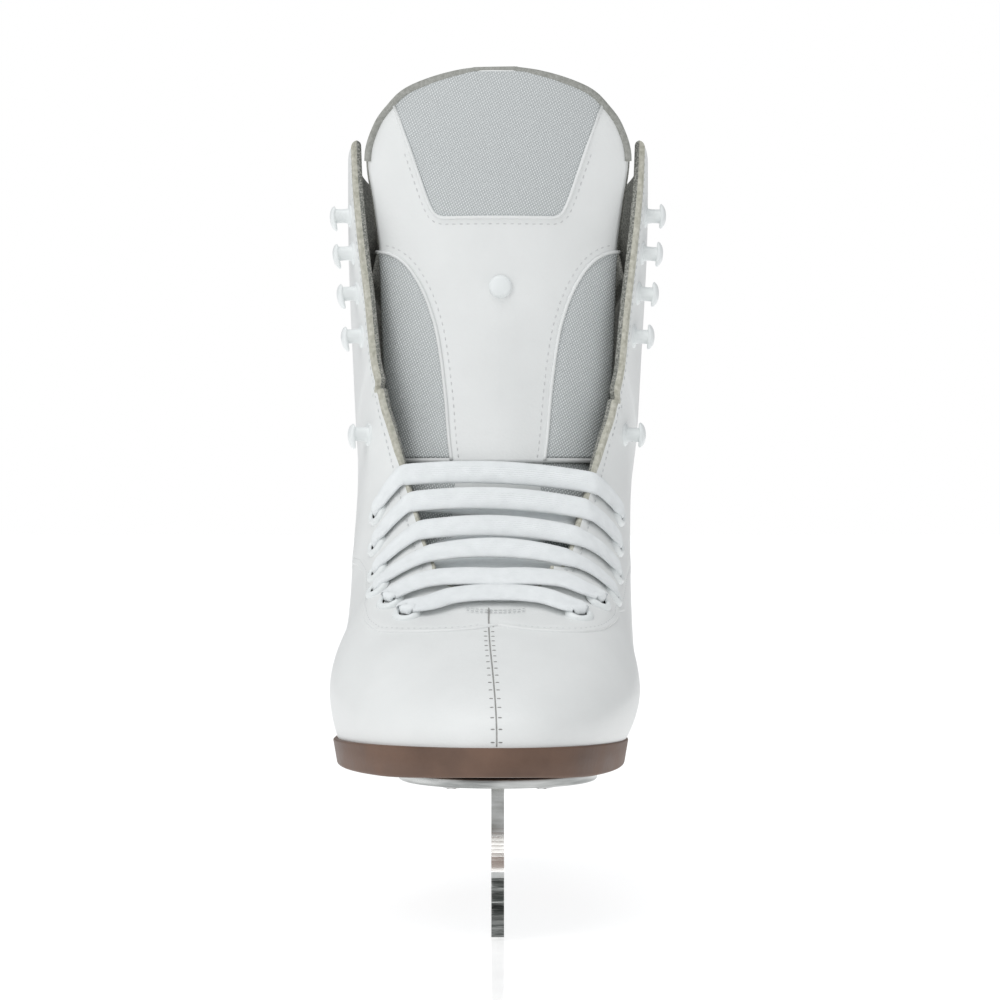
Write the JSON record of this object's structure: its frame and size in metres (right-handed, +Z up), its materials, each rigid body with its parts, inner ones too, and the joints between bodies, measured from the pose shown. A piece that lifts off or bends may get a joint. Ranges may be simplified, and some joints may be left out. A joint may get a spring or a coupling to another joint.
{
  "type": "figure skate",
  "caption": "Lace-up white leather figure skate with padded tongue, speed hooks, brown heeled sole and screwed-on steel blade with toe picks.",
  "frame": {"origin": "on the ice under the middle of the skate, in the plane of the blade", "axes": "+Z up, the toe points to -Y, +X is the inner side of the foot"},
  "size_m": [0.1183, 0.2768, 0.2806],
  "materials": {
    "white_leather": "smooth coated leather, satin",
    "grey_mesh": "padded woven mesh",
    "dark_lining": "speckled knit lining over foam",
    "brown_sole": "waxed sole, satin",
    "chrome_steel": "polished chrome",
    "white_plastic": "plastic-coated metal, satin gloss",
    "white_lace": "flat woven lace",
    "board": "compressed fibre board",
    "aglet_clear": "hard plastic tip"
  },
  "bodies": {
    "boot": {"vamp_left": "white_leather", "quarter_left": "white_leather", "eyelet_left_1": "white_plastic", "eyelet_left_2": "white_plastic", "eyelet_left_3": "white_plastic", "eyelet_left_4": "white_plastic", "eyelet_left_5": "white_plastic", "eyelet_left_6": "white_plastic", "hook_left_1": "white_plastic", "lace_tail_left": "white_lace", "aglet_left": "aglet_clear", "vamp_right": "white_leather", "quarter_right": "white_leather", "eyelet_right_1": "white_plastic", "eyelet_right_2": "white_plastic", "eyelet_right_3": "white_plastic", "eyelet_right_4": "white_plastic", "eyelet_right_5": "white_plastic", "eyelet_right_6": "white_plastic", "hook_right_1": "white_plastic", "lace_tail_right": "white_lace", "aglet_right": "aglet_clear", "backstay": "white_leather", "ankle_padding": "dark_lining", "insole_board": "board", "footbed": "dark_lining", "shank": "chrome_steel", "runner": "chrome_steel", "front_stanchion": "chrome_steel", "rear_stanchion": "chrome_steel", "sole_plate": "chrome_steel", "heel_plate": "chrome_steel", "outsole": "brown_sole", "heel_block": "brown_sole", "heel_top_lift": "brown_sole", "tongue_lower": "white_leather", "lace": "white_lace", "sole_plate_screw_1": "chrome_steel", "sole_plate_screw_2": "chrome_steel", "sole_plate_screw_3": "chrome_steel", "sole_plate_screw_4": "chrome_steel", "sole_plate_screw_5": "chrome_steel", "sole_plate_screw_6": "chrome_steel", "heel_plate_screw_1": "chrome_steel", "heel_plate_screw_2": "chrome_steel", "heel_plate_screw_3": "chrome_steel", "heel_plate_screw_4": "chrome_steel"},
    "tongue": {"tongue_upper": "grey_mesh", "tongue_stud": "white_plastic"},
    "left_flap": {"flap_left": "white_leather", "hook_left_2": "white_plastic", "hook_left_3": "white_plastic", "hook_left_4": "white_plastic", "hook_left_5": "white_plastic"},
    "right_flap": {"flap_right": "white_leather", "hook_right_2": "white_plastic", "hook_right_3": "white_plastic", "hook_right_4": "white_plastic", "hook_right_5": "white_plastic"}
  },
  "joints": [
    {"name": "tongue_flex", "type": "hinge", "parent": "boot", "child": "tongue", "pos_m": [0, -0.0034, 0.1508], "axis": [1, 0, 0], "range_deg": [0, 18], "stiffness_Nm_per_rad": 0.5},
    {"name": "left_flap_spread", "type": "hinge", "parent": "boot", "child": "left_flap", "pos_m": [-0.0515, 0.0375, 0.2075], "axis": [0, -0.6885, -0.7253], "range_deg": [0, 12], "stiffness_Nm_per_rad": 0.8},
    {"name": "right_flap_spread", "type": "hinge", "parent": "boot", "child": "right_flap", "pos_m": [0.0515, 0.0375, 0.2075], "axis": [0, 0.6885, 0.7253], "range_deg": [0, 12], "stiffness_Nm_per_rad": 0.8}
  ]
}
